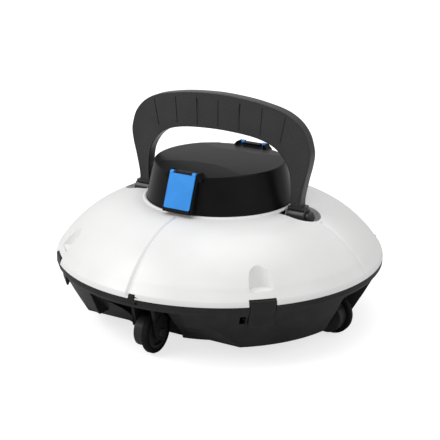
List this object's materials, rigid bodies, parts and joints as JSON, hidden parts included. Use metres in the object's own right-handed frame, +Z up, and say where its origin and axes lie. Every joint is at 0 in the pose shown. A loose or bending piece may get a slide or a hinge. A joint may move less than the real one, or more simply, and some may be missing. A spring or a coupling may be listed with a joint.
{
  "type": "pool cleaner",
  "caption": "Round cordless pool cleaner: domed shell on small wheels, black pump hub with hinged outlet flaps and an arched carrying handle.",
  "frame": {"origin": "centre of the footprint on the floor, under the hub's axis", "axes": "+Z up, -Y the end that faces front left in the picture, outlets along Y, handle along X"},
  "size_m": [0.36, 0.36, 0.25],
  "materials": {
    "shell_white": "satin white moulding",
    "base_black": "fine matte black moulding",
    "hub_black": "satin black moulding",
    "handle_grey": "satin dark grey moulding",
    "flap_blue": "bright blue moulding",
    "tyre_rubber": "black rubber",
    "wheel_black": "black moulding",
    "steel": "stainless pins and screws",
    "filter_grey": "grey moulding",
    "mesh_fabric": "fine woven mesh",
    "seal_rubber": "soft seal",
    "pod_grey": "dark grey moulding",
    "motor_can": "zinc plated can",
    "cell_wrap": "shrink wrapped cell",
    "board_green": "solder mask",
    "impeller_grey": "light grey moulding",
    "button_grey": "soft grey cap",
    "lens_clear": "frosted lamp lens"
  },
  "bodies": {
    "cleaner": {"axle_front": "wheel_black", "axle_left": "wheel_black", "axle_rear": "wheel_black", "axle_right": "wheel_black", "base_shell": "base_black", "battery_cells": "cell_wrap", "battery_holder": "pod_grey", "bottom_plate": "base_black", "control_board": "board_green", "control_panel": "hub_black", "filter_frame": "filter_grey", "filter_mesh": "mesh_fabric", "flap_pin_front": "steel", "flap_pin_rear": "steel", "handle_pin_left": "handle_grey", "handle_pin_right": "handle_grey", "hub_cover": "hub_black", "hub_screws": "steel", "inlet_pin_left": "steel", "inlet_pin_right": "steel", "outlet_duct_front": "pod_grey", "outlet_duct_rear": "pod_grey", "plate_screws": "steel", "pod_case": "pod_grey", "pod_seal": "seal_rubber", "pump_deck": "pod_grey", "pump_motor_front": "motor_can", "pump_motor_rear": "motor_can", "status_lens": "lens_clear", "upper_dome": "shell_white"},
    "handle": {"handle": "handle_grey"},
    "power_button": {"power_button": "button_grey"},
    "outlet_flap_front": {"outlet_flap_front": "flap_blue"},
    "impeller_front": {"impeller_front": "impeller_grey", "motor_shaft_front": "steel"},
    "outlet_flap_rear": {"outlet_flap_rear": "flap_blue"},
    "impeller_rear": {"impeller_rear": "impeller_grey", "motor_shaft_rear": "steel"},
    "inlet_flap_right": {"inlet_flap_right": "filter_grey"},
    "inlet_flap_left": {"inlet_flap_left": "filter_grey"},
    "wheel_front": {"wheel_front": "wheel_black", "tyre_front": "tyre_rubber"},
    "wheel_rear": {"wheel_rear": "wheel_black", "tyre_rear": "tyre_rubber"},
    "wheel_right": {"wheel_right": "wheel_black", "tyre_right": "tyre_rubber"},
    "wheel_left": {"wheel_left": "wheel_black", "tyre_left": "tyre_rubber"},
    "rim_clip_front_right": {"rim_clip_front_right": "base_black"},
    "rim_clip_rear_right": {"rim_clip_rear_right": "base_black"},
    "rim_clip_rear_left": {"rim_clip_rear_left": "base_black"},
    "rim_clip_front_left": {"rim_clip_front_left": "base_black"}
  },
  "joints": [
    {"name": "handle_swing", "type": "hinge", "parent": "cleaner", "child": "handle", "pos_m": [0, 0, 0.1265], "axis": [1, 0, 0], "range_deg": [-40, 40]},
    {"name": "outlet_flap_front_hinge", "type": "hinge", "parent": "cleaner", "child": "outlet_flap_front", "pos_m": [0, -0.07369, 0.1754], "axis": [-1, 0, 0], "range_deg": [0, 65]},
    {"name": "outlet_flap_rear_hinge", "type": "hinge", "parent": "cleaner", "child": "outlet_flap_rear", "pos_m": [0, 0.07369, 0.1754], "axis": [1, 0, 0], "range_deg": [0, 65]},
    {"name": "wheel_front_spin", "type": "hinge", "parent": "cleaner", "child": "wheel_front", "pos_m": [0, -0.138, 0.023], "axis": [1, 0, 0], "continuous": true},
    {"name": "wheel_rear_spin", "type": "hinge", "parent": "cleaner", "child": "wheel_rear", "pos_m": [0, 0.138, 0.023], "axis": [1, 0, 0], "continuous": true},
    {"name": "wheel_right_spin", "type": "hinge", "parent": "cleaner", "child": "wheel_right", "pos_m": [0.138, 0, 0.023], "axis": [0, 1, 0], "continuous": true},
    {"name": "wheel_left_spin", "type": "hinge", "parent": "cleaner", "child": "wheel_left", "pos_m": [-0.138, 0, 0.023], "axis": [0, 1, 0], "continuous": true},
    {"name": "impeller_front_spin", "type": "hinge", "parent": "cleaner", "child": "impeller_front", "pos_m": [0, -0.05, 0.1525], "axis": [0, -1, 0], "continuous": true},
    {"name": "impeller_rear_spin", "type": "hinge", "parent": "cleaner", "child": "impeller_rear", "pos_m": [0, 0.05, 0.1525], "axis": [0, 1, 0], "continuous": true},
    {"name": "inlet_flap_right_hinge", "type": "hinge", "parent": "cleaner", "child": "inlet_flap_right", "pos_m": [0.055, 0.0155, 0.0232], "axis": [-1, 0, 0], "range_deg": [0, 70]},
    {"name": "inlet_flap_left_hinge", "type": "hinge", "parent": "cleaner", "child": "inlet_flap_left", "pos_m": [-0.055, -0.0155, 0.0232], "axis": [1, 0, 0], "range_deg": [0, 70]},
    {"name": "rim_clip_front_right_flex", "type": "hinge", "parent": "cleaner", "child": "rim_clip_front_right", "pos_m": [0.1171, -0.1171, 0.055], "axis": [0.7071, 0.7071, 0], "range_deg": [0, 8], "stiffness_Nm_per_rad": 0.3},
    {"name": "rim_clip_rear_right_flex", "type": "hinge", "parent": "cleaner", "child": "rim_clip_rear_right", "pos_m": [0.1171, 0.1171, 0.055], "axis": [-0.7071, 0.7071, 0], "range_deg": [0, 8], "stiffness_Nm_per_rad": 0.3},
    {"name": "rim_clip_rear_left_flex", "type": "hinge", "parent": "cleaner", "child": "rim_clip_rear_left", "pos_m": [-0.1171, 0.1171, 0.055], "axis": [-0.7071, -0.7071, 0], "range_deg": [0, 8], "stiffness_Nm_per_rad": 0.3},
    {"name": "rim_clip_front_left_flex", "type": "hinge", "parent": "cleaner", "child": "rim_clip_front_left", "pos_m": [-0.1171, -0.1171, 0.055], "axis": [0.7071, -0.7071, 0], "range_deg": [0, 8], "stiffness_Nm_per_rad": 0.3},
    {"name": "power_button_press", "type": "slide", "parent": "cleaner", "child": "power_button", "axis": [0.7071, -0.7071, 0], "range_m": [0, 0.0015], "stiffness_N_per_m": 400}
  ]
}
